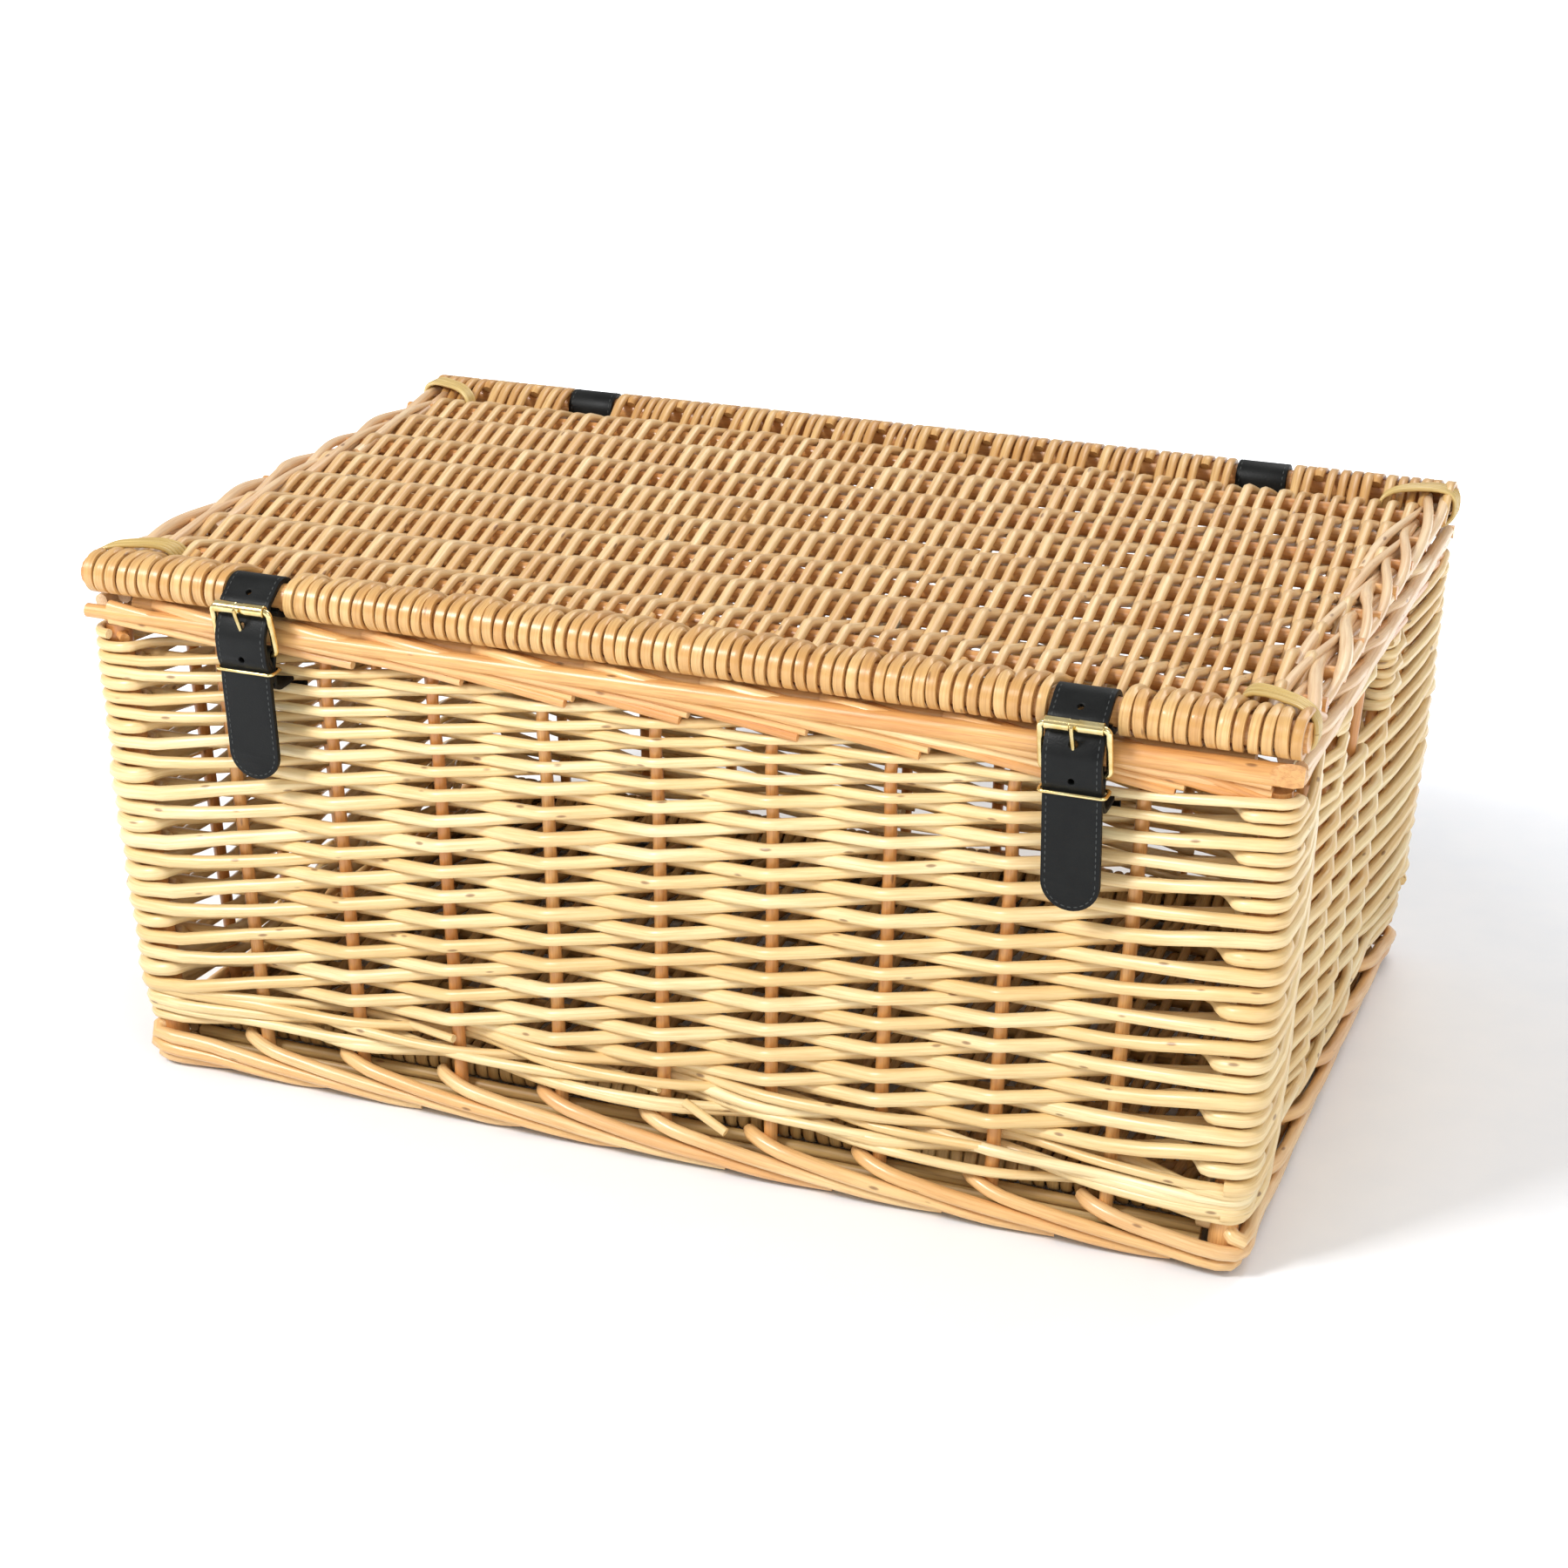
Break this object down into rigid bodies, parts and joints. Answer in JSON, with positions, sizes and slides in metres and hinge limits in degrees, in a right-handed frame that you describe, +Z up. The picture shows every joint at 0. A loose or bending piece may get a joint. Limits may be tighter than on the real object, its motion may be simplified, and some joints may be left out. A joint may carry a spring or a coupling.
{
  "type": "wicker storage trunk",
  "caption": "Rectangular willow basket trunk with a flat hinged woven lid, leather hinge loops, hand holes in both ends, and leather straps with roller buckles.",
  "frame": {"origin": "centre of the trunk's footprint, on the surface that the foot border rests on", "axes": "+Z up, +X to the right along the front, and the front with its buckles faces -Y"},
  "size_m": [0.563, 0.3758, 0.2568],
  "materials": {
    "woven_willow": "varnished buff willow, woven",
    "willow_rod": "varnished buff willow rod",
    "split_skein": "split willow skein, satin",
    "black_leather": "black, stitched, semi-gloss",
    "brass": "polished"
  },
  "bodies": {
    "basket": {"base_front_stick": "willow_rod", "base_rear_stick": "willow_rod", "base_inner_stick_1": "willow_rod", "base_inner_stick_2": "willow_rod", "base_inner_stick_3": "willow_rod", "base_inner_stick_4": "willow_rod", "base_weave": "woven_willow", "bottom_wale": "woven_willow", "foot_border": "woven_willow", "corner_post_front_left": "willow_rod", "corner_post_front_right": "willow_rod", "corner_post_rear_left": "willow_rod", "corner_post_rear_right": "willow_rod", "front_stakes_and_border": "willow_rod", "front_edge_rod": "willow_rod", "front_wall_weave": "woven_willow", "rear_stakes_and_border": "willow_rod", "rear_edge_rod": "willow_rod", "rear_wall_weave": "woven_willow", "left_stakes_and_border": "willow_rod", "left_edge_rod": "willow_rod", "left_wall_weave": "woven_willow", "right_stakes_and_border": "willow_rod", "right_edge_rod": "willow_rod", "right_wall_weave": "woven_willow", "hinge_loop_left": "black_leather", "buckle_chape_left": "black_leather", "hinge_loop_right": "black_leather", "buckle_chape_right": "black_leather"},
    "lid": {"lid_weave": "woven_willow", "lid_front_stick": "willow_rod", "lid_rear_stick": "willow_rod", "lid_inner_stick_1": "willow_rod", "lid_inner_stick_2": "willow_rod", "lid_inner_stick_3": "willow_rod", "lid_inner_stick_4": "willow_rod", "lid_inner_stick_5": "willow_rod", "lid_inner_stick_6": "willow_rod", "lid_inner_stick_7": "willow_rod", "lid_inner_stick_8": "willow_rod", "lid_end_plait_left": "woven_willow", "lid_corner_tie_front_left": "split_skein", "lid_corner_tie_rear_left": "split_skein", "lid_end_plait_right": "woven_willow", "lid_corner_tie_front_right": "split_skein", "lid_corner_tie_rear_right": "split_skein"},
    "strap_left": {"front_strap_left": "black_leather"},
    "buckle_left": {"buckle_frame_left": "brass"},
    "roller_left": {"buckle_roller_left": "brass"},
    "prong_left": {"buckle_prong_left": "brass"},
    "keeper_left": {"strap_keeper_left": "brass"},
    "strap_right": {"front_strap_right": "black_leather"},
    "buckle_right": {"buckle_frame_right": "brass"},
    "roller_right": {"buckle_roller_right": "brass"},
    "prong_right": {"buckle_prong_right": "brass"},
    "keeper_right": {"strap_keeper_right": "brass"}
  },
  "joints": [
    {"name": "lid_hinge", "type": "hinge", "parent": "basket", "child": "lid", "pos_m": [0, 0.17615, 0.2475], "axis": [-1, 0, 0], "range_deg": [0, 105], "deforming": ["front_strap_left", "front_strap_right"]},
    {"name": "front_strap_left_fall", "type": "hinge", "parent": "lid", "child": "strap_left", "pos_m": [-0.19, -0.16385, 0.2475], "axis": [-1, 0, 0], "range_deg": [-90, 0]},
    {"name": "buckle_left_tilt", "type": "hinge", "parent": "basket", "child": "buckle_left", "pos_m": [-0.19, -0.17705, 0.225], "axis": [1, 0, 0], "range_deg": [0, 60]},
    {"name": "prong_left_lift", "type": "hinge", "parent": "buckle_left", "child": "prong_left", "pos_m": [-0.19, -0.17705, 0.225], "axis": [1, 0, 0], "range_deg": [0, 35]},
    {"name": "roller_left_spin", "type": "hinge", "parent": "buckle_left", "child": "roller_left", "pos_m": [-0.19, -0.18166, 0.24631], "axis": [1, 0, 0], "continuous": true},
    {"name": "keeper_left_slide", "type": "slide", "parent": "basket", "child": "keeper_left", "axis": [0, 0, 1], "range_m": [-0.005, 0.001]},
    {"name": "front_strap_right_fall", "type": "hinge", "parent": "lid", "child": "strap_right", "pos_m": [0.19, -0.16385, 0.2475], "axis": [-1, 0, 0], "range_deg": [-90, 0]},
    {"name": "buckle_right_tilt", "type": "hinge", "parent": "basket", "child": "buckle_right", "pos_m": [0.19, -0.17705, 0.225], "axis": [1, 0, 0], "range_deg": [0, 60]},
    {"name": "prong_right_lift", "type": "hinge", "parent": "buckle_right", "child": "prong_right", "pos_m": [0.19, -0.17705, 0.225], "axis": [1, 0, 0], "range_deg": [0, 35]},
    {"name": "roller_right_spin", "type": "hinge", "parent": "buckle_right", "child": "roller_right", "pos_m": [0.19, -0.18166, 0.24631], "axis": [1, 0, 0], "continuous": true},
    {"name": "keeper_right_slide", "type": "slide", "parent": "basket", "child": "keeper_right", "axis": [0, 0, 1], "range_m": [-0.005, 0.001]}
  ],
  "couplings": [
    {"joint": "front_strap_left_fall", "follows": "lid_hinge", "ratio": -0.85},
    {"joint": "front_strap_right_fall", "follows": "lid_hinge", "ratio": -0.85}
  ]
}
